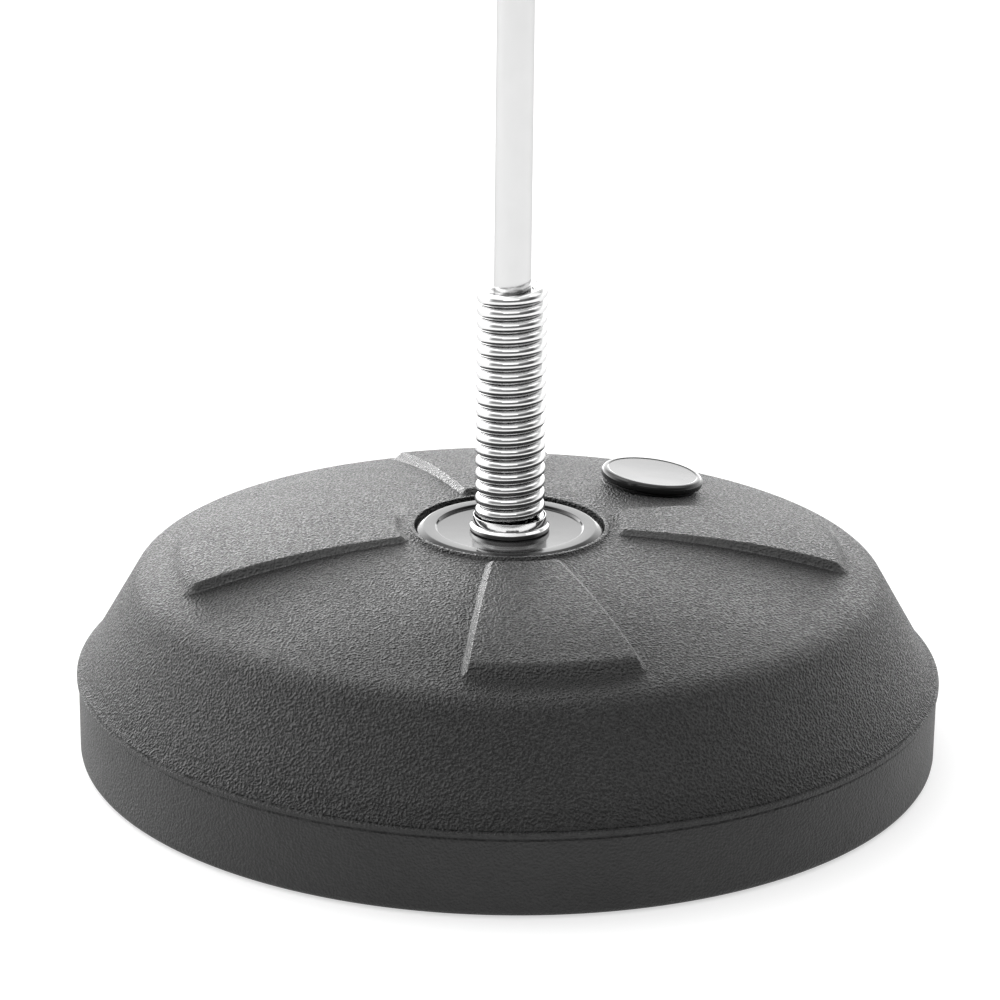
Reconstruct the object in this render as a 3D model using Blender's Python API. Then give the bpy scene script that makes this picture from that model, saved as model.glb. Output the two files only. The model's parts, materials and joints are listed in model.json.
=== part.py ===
"""A speed ball stand: a fillable round base, a closed-coil bending spring and a mast that telescopes.

Metres, +Z up. The origin is on the mast's axis, at floor level, and -Y is the front. Every piece is drawn in
the object's own coordinates, and a moving piece has its parent empty on its joint's axis.
"""

import math

import bmesh
import bpy
from mathutils import Matrix, Vector

MM = 0.001
GAP = 0.3 * MM  # clearance between two pieces that touch
WELD_DISTANCE = 0.01 * MM

# Base tank: a blow-moulded shell with a low dome, four raised ribs, a sloping side and a plain skirt.
BEAD_R = 225.0 * MM
BEAD_Z = 42.5 * MM  # height of the moulding bead's nose
SKIRT_R = 224.0 * MM
FLARE_CORNER = (221.0 * MM, 45.4 * MM)
SLOPE_FOOT = (217.3 * MM, 53.1 * MM)
SLOPE_HEAD = (194.95 * MM, 91.45 * MM)
SHOULDER_CORNER = (192.05 * MM, 96.55 * MM)
DOME_TOP_Z = 117.4 * MM
DOME_FLAT_R = 40.0 * MM  # the dome starts to fall away outside this radius
DOME_BEND_R = 553.7 * MM
DOME_EDGE_R = 181.8 * MM
TANK_WALL = 4.0 * MM
TANK_BOTTOM_Z = 0.8 * MM
CAVITY_FLOOR_Z = 6.5 * MM

# Ribs: four wedges that widen outwards, a quarter turn apart.
RIB_COUNT = 4
RIB_AZIMUTH = math.radians(7.4)
RIB_HALF_WIDTH = 4.8 * MM
RIB_WIDENING = 0.229  # half width gained per metre outwards
RIB_WALL = 2.6 * MM
RIB_INNER_R = 56.0 * MM
RIB_OUTER_R = 178.0 * MM
RIB_END_RUN = 10.0 * MM
RIB_INNER_LIFT = 2.3 * MM
RIB_OUTER_LIFT = 4.7 * MM

# Middle of the base: a seat for the cap on top, and a pocket for the anchor bolt underneath.
SEAT_Z = 109.8 * MM
SEAT_R = 49.4 * MM
SEAT_WALL = 5.0 * MM
POCKET_MOUTH_R = 34.0 * MM
POCKET_ROOF_R = 25.0 * MM
BOLT_HOLE_R = 5.6 * MM

# Centre cap: a dished disc with a rounded rim.
CAP_R = 48.6 * MM
CAP_RIM_IN_R = 37.8 * MM
CAP_RIM_Z = 117.7 * MM
CAP_FLOOR_Z = 116.2 * MM

# Bending spring: closed coils of round wire that stand in the lower plug's cup.
WIRE_R = 3.25 * MM
COIL_R = 14.9 * MM
COIL_PITCH = 6.7 * MM
COIL_FRONT_Z = 121.3 * MM  # height that the wire's centre would have at the front, at turn 0
FIRST_TURN = 0.18
LAST_TURN = 18.34

# Plugs that hold the spring: one bolted to the base, with a cup around the lowest coil, and one in the mast.
PLUG_R = 10.9 * MM
LOWER_PLUG_TOP_Z = 132.0 * MM
CUP_R = 20.65 * MM
CUP_FLOOR_Z = CAP_FLOOR_Z + GAP + 2.3 * MM
CUP_TOP_Z = 122.9 * MM
UPPER_PLUG_Z = (222.0 * MM, 238.0 * MM)
SPIGOT_TOP_Z = 268.0 * MM
CROSS_PIN_Z = 243.3 * MM
CROSS_PIN_R = 1.5 * MM

# The spring bends about two crossed axes, a quarter and three quarters of the way up its free coils.
BEND_X_Z = 0.75 * LOWER_PLUG_TOP_Z + 0.25 * UPPER_PLUG_Z[0]
BEND_Y_Z = 0.25 * LOWER_PLUG_TOP_Z + 0.75 * UPPER_PLUG_Z[0]

# Mast: a 19 mm lower tube, and a 15.8 mm upper tube that slides in it.
LOWER_TUBE_R = 9.5 * MM
UPPER_TUBE_R = 7.9 * MM
TUBE_WALL = 1.2 * MM
LOWER_TUBE_Z = (UPPER_PLUG_Z[1] + GAP, 684.7 * MM)
UPPER_TUBE_Z = (316.0 * MM, 896.0 * MM)

# Height clamp on top of the lower tube, with its screw on the +X side.
COLLAR_R = 15.0 * MM
COLLAR_Z = (650.0 * MM, 714.0 * MM)
CLAMP_Z = 699.0 * MM
LUG_R = 10.0 * MM
LUG_END_X = 25.0 * MM
INSERT_R = 6.2 * MM
SCREW_R = 4.0 * MM
GRUB_R = 2.0 * MM
KNOB_R = 19.0 * MM
KNOB_LOBES = 5
KNOB_X = (30.0 * MM, 47.0 * MM)

# Ball seat on top of the upper tube.
SEAT_DISC_Z = UPPER_TUBE_Z[1] + GAP
SEAT_DISC_TOP_Z = 905.0 * MM
STUD_TOP_Z = 941.0 * MM
STUD_R = 4.9 * MM

# Filler cap: on a low boss on the dome, between the right rib and the back rib, leaning out to the right.
FILLER_AXIS_R = 117.2 * MM
FILLER_AZIMUTH = math.radians(49.0)
FILLER_LEAN = math.radians(6.7)
FILLER_LEAN_AZIMUTH = math.radians(13.5)
FILLER_STAND = 1.4 * MM  # height of the filler's frame above the dome
FILLER_CAP_R = 27.7 * MM
FILLER_CAP_TOP = 6.1 * MM
FILLER_BOSS_R = 26.8 * MM
FILLER_BOSS_DEPTH = 6.0 * MM
FILLER_PLUG_R = 19.0 * MM
FILLER_BORE_R = 19.5 * MM
FILLER_NECK_R = 23.0 * MM
FILLER_NECK_DEPTH = 20.0 * MM
FILLER_SEAT_DEPTH = 1.2 * MM
FILLER_SEAT_R = 29.5 * MM

# Anti-slip pads let into the tank's underside.
PAD_COUNT = 6
PAD_CIRCLE_R = 192.0 * MM
PAD_R = 11.0 * MM
PAD_TOP_Z = 3.2 * MM


# ---------------------------------------------------------------- drawing tools


def clear_scene():
    for old in list(bpy.data.objects):
        bpy.data.objects.remove(old, do_unlink=True)


def material(name, grey, roughness, metallic):
    """A Principled material of a neutral colour."""
    made = bpy.data.materials.new(name)
    made.use_nodes = True
    shader = made.node_tree.nodes["Principled BSDF"]
    shader.inputs["Base Color"].default_value = (grey, grey, grey, 1.0)
    shader.inputs["Roughness"].default_value = roughness
    shader.inputs["Metallic"].default_value = metallic
    made.diffuse_color = (grey, grey, grey, 1.0)
    return made


def add_frame(name, world, parent=None):
    """An empty on a joint's axis."""
    empty = bpy.data.objects.new(name, None)
    empty.empty_display_size = 0.03
    bpy.context.scene.collection.objects.link(empty)
    empty.parent = parent
    bpy.context.view_layer.update()
    empty.matrix_world = world
    bpy.context.view_layer.update()
    return empty


def add_piece(name, mesh, look, parent=None):
    """Turns a bmesh drawn in the object's coordinates into an object whose origin is its parent's."""
    if parent is not None:
        mesh.transform(parent.matrix_world.inverted())
    bmesh.ops.recalc_face_normals(mesh, faces=mesh.faces)
    data = bpy.data.meshes.new(name)
    mesh.to_mesh(data)
    mesh.free()
    data.materials.append(look)
    data.shade_smooth()
    data.set_sharp_from_angle(angle=math.radians(32))
    piece = bpy.data.objects.new(name, data)
    bpy.context.scene.collection.objects.link(piece)
    piece.parent = parent
    return piece


def add_cutter(name, mesh):
    """A solid that only cuts others."""
    cutter = add_piece(name, mesh, LOOKS["cutter"])
    cutter.hide_render = True
    cutter.display_type = "WIRE"
    return cutter


def combine(piece, cutter, operation):
    change = piece.modifiers.new(cutter.name, "BOOLEAN")
    change.operation = operation
    change.solver = "EXACT"
    change.object = cutter


def cut(piece, cutter):
    combine(piece, cutter, "DIFFERENCE")


def weld(piece):
    """Joins the points that cuts leave almost on top of each other."""
    change = piece.modifiers.new("weld", "WELD")
    change.merge_threshold = WELD_DISTANCE


def loft(rings, closed=False):
    """Joins rings of points into one solid. A ring of one point is a pole, and closed joins the ends."""
    mesh = bmesh.new()
    made = [[mesh.verts.new(point) for point in ring] for ring in rings]
    pairs = list(zip(made, made[1:]))
    if closed:
        pairs.append((made[-1], made[0]))
    for low, high in pairs:
        for i in range(max(len(low), len(high))):
            below = [low[i % len(low)], low[(i + 1) % len(low)]]
            above = [high[(i + 1) % len(high)], high[i % len(high)]]
            mesh.faces.new(list(dict.fromkeys(below + above)))
    return mesh


def round_ring(radius, height, sides, phase=0.5):
    turns = [math.tau * (i + phase) / sides for i in range(sides)]
    return [Vector((radius * math.cos(a), radius * math.sin(a), height)) for a in turns]


def hexagon_ring(across_flats, height, sides):
    """A hexagon with enough points along its flats to join onto a round ring."""
    points = []
    for spoke in round_ring(1.0, 0.0, sides, phase=0.0):
        from_flat = (math.atan2(spoke.y, spoke.x) + math.pi / 6) % (math.pi / 3) - math.pi / 6
        points.append(spoke * (across_flats / 2 / math.cos(from_flat)) + Vector((0, 0, height)))
    return points


def turned(profile, segments=32, frame=None):
    """Turns a closed outline of (radius, height) points about +Z. Points at radius 0 become poles."""
    rings = []
    for radius, height in profile:
        if radius == 0:
            rings.append([Vector((0, 0, height))])
        else:
            rings.append(round_ring(radius, height, segments))
    open_ended = profile[0][0] == 0 and profile[-1][0] == 0
    mesh = loft(rings, closed=not open_ended)
    if frame is not None:
        mesh.transform(frame)
    return mesh


def tube(outer, inner, low, high, segments=24, frame=None):
    return turned([(outer, low), (outer, high), (inner, high), (inner, low)], segments, frame)


def rod(radius, low, high, chamfer=0.0, segments=24, frame=None):
    """A round bar with chamfered ends."""
    outline = [(0, low), (radius - chamfer, low), (radius, low + chamfer)]
    outline += [(radius, high - chamfer), (radius - chamfer, high), (0, high)]
    if chamfer == 0:
        outline = [(0, low), (radius, low), (radius, high), (0, high)]
    return turned(outline, segments, frame)


def hexagon_nut(across_flats, bore, low, high):
    sides = 24
    outside = [hexagon_ring(across_flats, low, sides), hexagon_ring(across_flats, high, sides)]
    hole = [round_ring(bore, high, sides, phase=0.0), round_ring(bore, low, sides, phase=0.0)]
    return loft(outside + hole, closed=True)


def smooth_step(value):
    value = min(max(value, 0.0), 1.0)
    return value * value * (3 - 2 * value)


def curve_points(start, control, end, steps):
    """Points of a quadratic curve, without its first point."""
    points = []
    for i in range(1, steps + 1):
        t = i / steps
        weights = ((1 - t) ** 2, 2 * t * (1 - t), t * t)
        corners = (start, control, end)
        points.append(tuple(sum(w * corner[axis] for w, corner in zip(weights, corners)) for axis in (0, 1)))
    return points


# ---------------------------------------------------------------- base


def dome_z(radius):
    """Height of the plain dome."""
    fall = max(radius - DOME_FLAT_R, 0.0)
    return DOME_TOP_Z - fall * fall / (2 * DOME_BEND_R)


def rib_lift(radius):
    """How far a rib's top stands above the dome, at this radius."""
    grown = smooth_step((radius - RIB_INNER_R) / (0.8 * (RIB_OUTER_R - RIB_INNER_R)))
    full = RIB_INNER_LIFT + (RIB_OUTER_LIFT - RIB_INNER_LIFT) * grown
    inner_end = min(max((radius - RIB_INNER_R) / RIB_WALL, 0.0), 1.0)
    outer_end = smooth_step((RIB_OUTER_R - radius) / RIB_END_RUN)
    return full * inner_end * outer_end


def rib_edge_angles(radius):
    """Half angles of a rib's top edge and of its foot, at this radius."""
    along = min(max(radius, RIB_INNER_R), RIB_OUTER_R)
    half = RIB_HALF_WIDTH + RIB_WIDENING * along
    return math.atan2(half - RIB_WALL / 2, along), math.atan2(half + RIB_WALL / 2, along)


def column_angles(radius):
    """Azimuths of the tank's columns of points, with 1 where the column is on a rib's top and 0 elsewhere."""
    between = 6
    top, foot = rib_edge_angles(radius)
    columns = []
    for rib in range(RIB_COUNT):
        centre = RIB_AZIMUTH + math.tau * rib / RIB_COUNT
        for offset in (-top, -top / 2, 0.0, top / 2, top):
            columns.append((centre + offset, 1))
        gap = math.tau / RIB_COUNT - 2 * foot
        for i in range(between + 2):
            columns.append((centre + foot + gap * i / (between + 1), 0))
    return columns


def tank_ring(radius, height, ribbed):
    points = []
    for azimuth, on_rib in column_angles(radius):
        lift = rib_lift(radius) if ribbed and on_rib else 0.0
        points.append(Vector((radius * math.cos(azimuth), radius * math.sin(azimuth), height + lift)))
    return points


def dome_rings():
    """Rings of the ribbed dome."""
    inner = [RIB_INNER_R, RIB_INNER_R + RIB_WALL]
    outer = [RIB_OUTER_R - RIB_END_RUN, RIB_OUTER_R - RIB_END_RUN / 2, RIB_OUTER_R]
    middle = [inner[-1] + (outer[0] - inner[-1]) * i / 5 for i in range(1, 5)]
    return [tank_ring(r, dome_z(r), True) for r in inner + middle + outer]


def tank_outside():
    """The tank's outer surface, from the bolt hole over the top and round to the pocket underneath."""
    lip_r = SEAT_R + 1.0 * MM
    roof_z = SEAT_Z - SEAT_WALL
    top = [(BOLT_HOLE_R, roof_z), (BOLT_HOLE_R, SEAT_Z), (SEAT_R, SEAT_Z), (SEAT_R, DOME_TOP_Z + 0.4 * MM)]
    top += [(lip_r, DOME_TOP_Z + 1.0 * MM), (lip_r + 1.0 * MM, DOME_TOP_Z + 0.8 * MM)]
    top += [(lip_r + 2.2 * MM, dome_z(lip_r))]
    dome_edge = (DOME_EDGE_R, dome_z(DOME_EDGE_R))
    side = [dome_edge] + curve_points(dome_edge, SHOULDER_CORNER, SLOPE_HEAD, 4)
    side += [SLOPE_FOOT]
    side += curve_points(SLOPE_FOOT, FLARE_CORNER, (BEAD_R - 1.7 * MM, BEAD_Z + 2.1 * MM), 4)
    side += [(BEAD_R, BEAD_Z + 0.9 * MM), (BEAD_R, BEAD_Z - 0.9 * MM), (SKIRT_R, BEAD_Z - 2.3 * MM)]
    edge = 3.5 * MM
    side += [(SKIRT_R, TANK_BOTTOM_Z + edge), (SKIRT_R - 0.9 * MM, TANK_BOTTOM_Z + 1.0 * MM)]
    side += [(SKIRT_R - edge, TANK_BOTTOM_Z), (POCKET_MOUTH_R, TANK_BOTTOM_Z)]
    side += [(POCKET_MOUTH_R - 1.5 * MM, TANK_BOTTOM_Z + 2.0 * MM)]
    side += [(POCKET_ROOF_R + 1.5 * MM, roof_z - 4.0 * MM), (POCKET_ROOF_R, roof_z)]
    rings = [tank_ring(r, z, False) for r, z in top] + dome_rings()
    rings += [tank_ring(r, z, False) for r, z in side]
    return loft(rings, closed=True)


def tank_cavity():
    """The space inside the tank, a wall's thickness in from the plain dome and the sides."""
    foot_r = POCKET_MOUTH_R + 0.7 * TANK_WALL
    neck_r = POCKET_ROOF_R + 1.6 * TANK_WALL
    under_seat = SEAT_Z - SEAT_WALL
    start = [(foot_r, CAVITY_FLOOR_Z), (neck_r, under_seat - 7.0 * MM)]
    start += [(neck_r + 3.0 * MM, under_seat - 2.0 * MM)]
    start += [(SEAT_R, under_seat - 0.5 * MM), (SEAT_R + 4.5 * MM, DOME_TOP_Z - 7.0 * MM)]
    radii = [RIB_INNER_R + (RIB_OUTER_R - RIB_INNER_R) * i / 3 for i in range(4)]
    dome = [(r, dome_z(r) - TANK_WALL) for r in radii]
    slope_run = 0.87 * TANK_WALL
    slope_drop = 0.49 * TANK_WALL
    side = [(DOME_EDGE_R - 0.3 * TANK_WALL, dome_z(DOME_EDGE_R) - TANK_WALL)]
    side += [(SHOULDER_CORNER[0] - TANK_WALL, SHOULDER_CORNER[1] - 1.4 * TANK_WALL)]
    side += [(SLOPE_HEAD[0] - slope_run, SLOPE_HEAD[1] - slope_drop)]
    side += [(SLOPE_FOOT[0] - slope_run, SLOPE_FOOT[1] - slope_drop)]
    side += [(SKIRT_R - TANK_WALL, BEAD_Z), (SKIRT_R - TANK_WALL, CAVITY_FLOOR_Z + 3.0 * MM)]
    side += [(SKIRT_R - 2 * TANK_WALL, CAVITY_FLOOR_Z)]
    return turned(start + dome + side, 36)


def pad_centre(index):
    azimuth = math.tau * (index + 0.5) / PAD_COUNT
    return Vector((PAD_CIRCLE_R * math.cos(azimuth), PAD_CIRCLE_R * math.sin(azimuth), 0))


def make_tank(filler):
    tank = add_piece("base_tank", tank_outside(), LOOKS["tank_plastic"])
    cut(tank, add_cutter("cut_cavity", tank_cavity()))
    outline = [(0, -FILLER_NECK_DEPTH), (FILLER_NECK_R, -FILLER_NECK_DEPTH)]
    outline += [(FILLER_NECK_R, -FILLER_BOSS_DEPTH), (FILLER_BOSS_R, -FILLER_BOSS_DEPTH)]
    outline += [(FILLER_BOSS_R, 0), (0, 0)]
    combine(tank, add_cutter("join_filler_neck", turned(outline, 36, filler)), "UNION")
    bore_end = -1.5 * FILLER_NECK_DEPTH
    outline = [(0, bore_end), (FILLER_BORE_R, bore_end), (FILLER_BORE_R, -FILLER_SEAT_DEPTH)]
    outline += [(FILLER_SEAT_R, -FILLER_SEAT_DEPTH), (FILLER_SEAT_R, 8 * MM), (0, 8 * MM)]
    cut(tank, add_cutter("cut_neck_bore", turned(outline, 36, filler)))
    for index in range(PAD_COUNT):
        place = Matrix.Translation(pad_centre(index))
        pocket = rod(PAD_R + 0.5 * MM, -5 * MM, PAD_TOP_Z + GAP, segments=16, frame=place)
        cut(tank, add_cutter(f"cut_pad_{index + 1}", pocket))
    weld(tank)


def make_pads():
    edge = 0.6 * MM
    for index in range(PAD_COUNT):
        outline = [(0, 0), (PAD_R - edge, 0), (PAD_R, edge), (PAD_R, PAD_TOP_Z), (0, PAD_TOP_Z)]
        place = Matrix.Translation(pad_centre(index))
        add_piece(f"foot_pad_{index + 1}", turned(outline, 16, place), LOOKS["rubber"])


def make_centre_cap():
    under = SEAT_Z + GAP
    bore = BOLT_HOLE_R - 0.25 * MM
    groove_z = under + 3.6 * MM
    outline = [(bore, under), (38.0 * MM, under), (39.2 * MM, groove_z), (44.6 * MM, groove_z)]
    outline += [(45.6 * MM, under), (CAP_R - 1.0 * MM, under), (CAP_R, under + 1.0 * MM)]
    outline += [(CAP_R, CAP_RIM_Z - 2.4 * MM), (CAP_R - 1.6 * MM, CAP_RIM_Z - 1.1 * MM)]
    outline += [(CAP_R - 4.2 * MM, CAP_RIM_Z - 0.2 * MM), (CAP_R - 6.5 * MM, CAP_RIM_Z)]
    outline += [(CAP_RIM_IN_R + 0.9 * MM, CAP_RIM_Z), (CAP_RIM_IN_R, CAP_FLOOR_Z), (bore, CAP_FLOOR_Z)]
    add_piece("centre_cap", turned(outline, 32), LOOKS["gloss_plastic"])


def make_anchor():
    """The bolt, lock washer and plate that clamp the cap and the spring's lower plug to the tank."""
    roof_z = SEAT_Z - SEAT_WALL
    plate_z = (roof_z - GAP - 3.0 * MM, roof_z - GAP)
    washer_z = (plate_z[0] - GAP - 2.2 * MM, plate_z[0] - GAP)
    head_z = (washer_z[0] - GAP - 6.4 * MM, washer_z[0] - GAP)
    add_piece("anchor_plate", tube(21.0 * MM, 5.6 * MM, *plate_z, segments=24), LOOKS["zinc"])
    add_piece("anchor_lock_washer", tube(8.8 * MM, 5.3 * MM, *washer_z), LOOKS["zinc"])
    flats = 17.0 * MM
    sides = 24
    tip_z = LOWER_PLUG_TOP_Z - 3.5 * MM
    rings = [[Vector((0, 0, head_z[0]))]]
    rings += [round_ring(flats / 2 - 1.0 * MM, head_z[0], sides, phase=0.0)]
    rings += [hexagon_ring(flats, head_z[0] + 0.8 * MM, sides), hexagon_ring(flats, head_z[1], sides)]
    rings += [round_ring(STUD_R, head_z[1], sides, phase=0.0)]
    rings += [round_ring(STUD_R, tip_z - 1.0 * MM, sides, phase=0.0)]
    rings += [round_ring(STUD_R - 1.0 * MM, tip_z, sides, phase=0.0)]
    rings += [[Vector((0, 0, tip_z))]]
    add_piece("anchor_bolt", loft(rings), LOOKS["zinc"])


# ---------------------------------------------------------------- filler cap


def filler_frame_matrix():
    """A frame just above the dome at the filler, with its +Z along the filler's leaning axis."""
    across = FILLER_AXIS_R * math.cos(FILLER_AZIMUTH)
    back = FILLER_AXIS_R * math.sin(FILLER_AZIMUTH)
    place = Matrix.Translation((across, back, dome_z(FILLER_AXIS_R) + FILLER_STAND))
    place = place @ Matrix.Rotation(FILLER_LEAN_AZIMUTH, 4, "Z")
    return place @ Matrix.Rotation(FILLER_LEAN, 4, "Y")


def make_filler(axis):
    seat = -FILLER_SEAT_DEPTH + GAP
    seal_top = seat + 1.4 * MM
    under = seal_top + GAP
    top = FILLER_CAP_TOP
    seal = tube(25.0 * MM, FILLER_PLUG_R + 0.5 * MM, seat, seal_top, segments=32, frame=axis.matrix_world)
    add_piece("filler_seal", seal, LOOKS["rubber"], axis)
    plug_in = FILLER_PLUG_R - 3.0 * MM
    plug_foot = -14.0 * MM
    outline = [(0, top - 3.4 * MM), (plug_in - 1.0 * MM, top - 3.4 * MM), (plug_in, top - 4.4 * MM)]
    outline += [(plug_in, plug_foot), (FILLER_PLUG_R - 0.8 * MM, plug_foot)]
    outline += [(FILLER_PLUG_R, plug_foot + 1.0 * MM), (FILLER_PLUG_R, under)]
    outline += [(FILLER_CAP_R - 1.5 * MM, under), (FILLER_CAP_R, under + 1.4 * MM)]
    outline += [(FILLER_CAP_R, top - 2.0 * MM), (FILLER_CAP_R - 0.7 * MM, top - 0.6 * MM)]
    sunk = top - 0.4 * MM
    outline += [(FILLER_CAP_R - 2.1 * MM, top), (24.6 * MM, top), (23.9 * MM, sunk), (0, sunk)]
    add_piece("filler_cap", turned(outline, 32, axis.matrix_world), LOOKS["gloss_plastic"], axis)


# ---------------------------------------------------------------- spring and its plugs


def make_spring(parent):
    """A right-handed coil. A turn is counted from the front, and the first one lies in the cup."""
    sides = 6
    per_turn = 12
    count = round((LAST_TURN - FIRST_TURN) * per_turn)
    rings = []
    for i in range(count + 1):
        turn = FIRST_TURN + (LAST_TURN - FIRST_TURN) * i / count
        azimuth = math.tau * turn - math.pi / 2
        height = COIL_FRONT_Z + COIL_PITCH * turn
        ring = []
        for side in range(sides):
            a = math.tau * side / sides
            reach = COIL_R + WIRE_R * math.cos(a)
            z = height + WIRE_R * math.sin(a)
            ring.append(Vector((reach * math.cos(azimuth), reach * math.sin(azimuth), z)))
        rings.append(ring)
    mesh = loft(rings)
    made = list(mesh.verts)
    mesh.faces.new(made[:sides])
    mesh.faces.new(made[-sides:])
    add_piece("spring", mesh, LOOKS["chrome"], parent)


def make_lower_plug():
    """A turned plug inside the coils, with a flange whose cup holds the lowest coil."""
    bore = BOLT_HOLE_R - 0.3 * MM
    under = CAP_FLOOR_Z + GAP
    cup_in = COIL_R + WIRE_R + GAP
    outline = [(bore, under), (CUP_R - 0.5 * MM, under), (CUP_R, under + 0.5 * MM), (CUP_R, CUP_FLOOR_Z)]
    outline += [(cup_in + 0.5 * MM, CUP_TOP_Z), (cup_in, CUP_TOP_Z), (cup_in, CUP_FLOOR_Z)]
    outline += [(PLUG_R, CUP_FLOOR_Z), (PLUG_R, LOWER_PLUG_TOP_Z - 1.0 * MM)]
    outline += [(PLUG_R - 1.0 * MM, LOWER_PLUG_TOP_Z), (bore, LOWER_PLUG_TOP_Z)]
    add_piece("spring_lower_plug", turned(outline, 32), LOOKS["chrome"])


def cross_hole(name):
    """A cutter for the hole that the cross pin goes through, from front to back."""
    place = Matrix.Translation((0, 0, CROSS_PIN_Z)) @ Matrix.Rotation(math.pi / 2, 4, "X")
    reach = LOWER_TUBE_R + 3 * MM
    return add_cutter(name, rod(CROSS_PIN_R + GAP, -reach, reach, segments=12, frame=place))


def make_upper_plug(mast):
    low, high = UPPER_PLUG_Z
    spigot = LOWER_TUBE_R - TUBE_WALL - GAP
    outline = [(0, low), (PLUG_R - 1.0 * MM, low), (PLUG_R, low + 1.0 * MM), (PLUG_R, high), (spigot, high)]
    outline += [(spigot, SPIGOT_TOP_Z - 1.0 * MM), (spigot - 1.0 * MM, SPIGOT_TOP_Z), (0, SPIGOT_TOP_Z)]
    plug = add_piece("spring_upper_plug", turned(outline, 24), LOOKS["steel"], mast)
    cut(plug, cross_hole("cut_plug_pin"))
    weld(plug)
    place = Matrix.Translation((0, 0, CROSS_PIN_Z)) @ Matrix.Rotation(math.pi / 2, 4, "X")
    half = LOWER_TUBE_R - 0.2 * MM
    pin = rod(CROSS_PIN_R, -half, half, chamfer=0.3 * MM, segments=12, frame=place)
    add_piece("mast_cross_pin", pin, LOOKS["steel"], mast)


# ---------------------------------------------------------------- mast


def make_lower_tube(mast):
    body = tube(LOWER_TUBE_R, LOWER_TUBE_R - TUBE_WALL, *LOWER_TUBE_Z, segments=24)
    lower = add_piece("lower_mast", body, LOOKS["chrome"], mast)
    cut(lower, cross_hole("cut_mast_pin"))
    weld(lower)


def sideways(x, z):
    """A frame at this x and z whose +Z points along +X."""
    return Matrix.Translation((x, 0, z)) @ Matrix.Rotation(math.pi / 2, 4, "Y")


def make_collar(mast):
    low, high = COLLAR_Z
    step_z = LOWER_TUBE_Z[1] + GAP
    lower_bore = LOWER_TUBE_R + GAP
    upper_bore = UPPER_TUBE_R + GAP
    edge = 1.5 * MM
    outline = [(lower_bore, low), (COLLAR_R - edge, low), (COLLAR_R, low + edge), (COLLAR_R, high - 2 * edge)]
    outline += [(COLLAR_R - 2 * edge, high), (upper_bore, high), (upper_bore, step_z), (lower_bore, step_z)]
    collar = add_piece("height_collar", turned(outline, 24), LOOKS["matte_plastic"], mast)
    grub_place = sideways(0, COLLAR_Z[0] + 15 * MM)
    set_hole = rod(GRUB_R + GAP, -COLLAR_R - 2 * MM, -LOWER_TUBE_R, segments=16, frame=grub_place)
    cut(collar, add_cutter("cut_set_screw", set_hole))
    lug = rod(LUG_R, 10.5 * MM, LUG_END_X, chamfer=1.0 * MM, segments=24, frame=sideways(0, CLAMP_Z))
    combine(collar, add_cutter("join_lug", lug), "UNION")
    insert_from = 12.0 * MM
    screw_hole = SCREW_R + 0.4 * MM
    outside = LUG_END_X + 5 * MM
    stepped = [(0, 0), (screw_hole, 0), (screw_hole, insert_from)]
    stepped += [(INSERT_R + GAP, insert_from), (INSERT_R + GAP, outside), (0, outside)]
    cut(collar, add_cutter("cut_screw_hole", turned(stepped, 24, sideways(0, CLAMP_Z))))
    weld(collar)
    insert = tube(INSERT_R, SCREW_R + 0.35 * MM, insert_from + GAP, LUG_END_X - GAP, 24, sideways(0, CLAMP_Z))
    add_piece("thread_insert", insert, LOOKS["brass"], mast)
    grub_x = (-COLLAR_R + 0.8 * MM, -LOWER_TUBE_R - GAP)
    grub = rod(GRUB_R, *grub_x, chamfer=0.4 * MM, segments=16, frame=grub_place)
    add_piece("collar_set_screw", grub, LOOKS["steel"], mast)


def make_clamp(clamp):
    """The pressure shoe, which only moves in and out, and the screw and knob that turn behind it."""
    place = sideways(0, CLAMP_Z)
    shoe_x = (UPPER_TUBE_R + GAP, 11.5 * MM)
    shoe = rod(SCREW_R - 0.2 * MM, *shoe_x, chamfer=0.4 * MM, segments=24, frame=place)
    add_piece("clamp_shoe", shoe, LOOKS["brass"], clamp)
    screw = rod(SCREW_R, shoe_x[1] + GAP, KNOB_X[0] + 9.7 * MM, chamfer=0.6 * MM, segments=24, frame=place)
    add_piece("clamp_screw", screw, LOOKS["zinc"], clamp)

    def lobed(radius, depth, x):
        points = []
        sides = 6 * KNOB_LOBES
        for i in range(sides):
            a = math.tau * i / sides
            reach = radius + depth * (math.cos(KNOB_LOBES * a) - 1) / 2
            points.append(Vector((reach * math.cos(a), reach * math.sin(a), x)))
        return points

    low, high = KNOB_X
    neck = 8.5 * MM
    bore = SCREW_R + GAP
    floor = low + 10 * MM
    rings = [[Vector((0, 0, floor))], lobed(bore, 0, floor), lobed(bore, 0, low - 2 * MM)]
    rings += [lobed(neck, 0, low - 2 * MM), lobed(neck, 0, low + 1 * MM)]
    rings += [lobed(KNOB_R - 2 * MM, 4 * MM, low + 2 * MM), lobed(KNOB_R, 5 * MM, low + 4 * MM)]
    rings += [lobed(KNOB_R, 5 * MM, high - 4 * MM), lobed(KNOB_R - 2 * MM, 4 * MM, high - 1 * MM)]
    rings += [lobed(KNOB_R - 8 * MM, 0.5 * MM, high), [Vector((0, 0, high))]]
    knob = loft(rings)
    knob.transform(place)
    add_piece("clamp_knob", knob, LOOKS["matte_plastic"], clamp)


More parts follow.
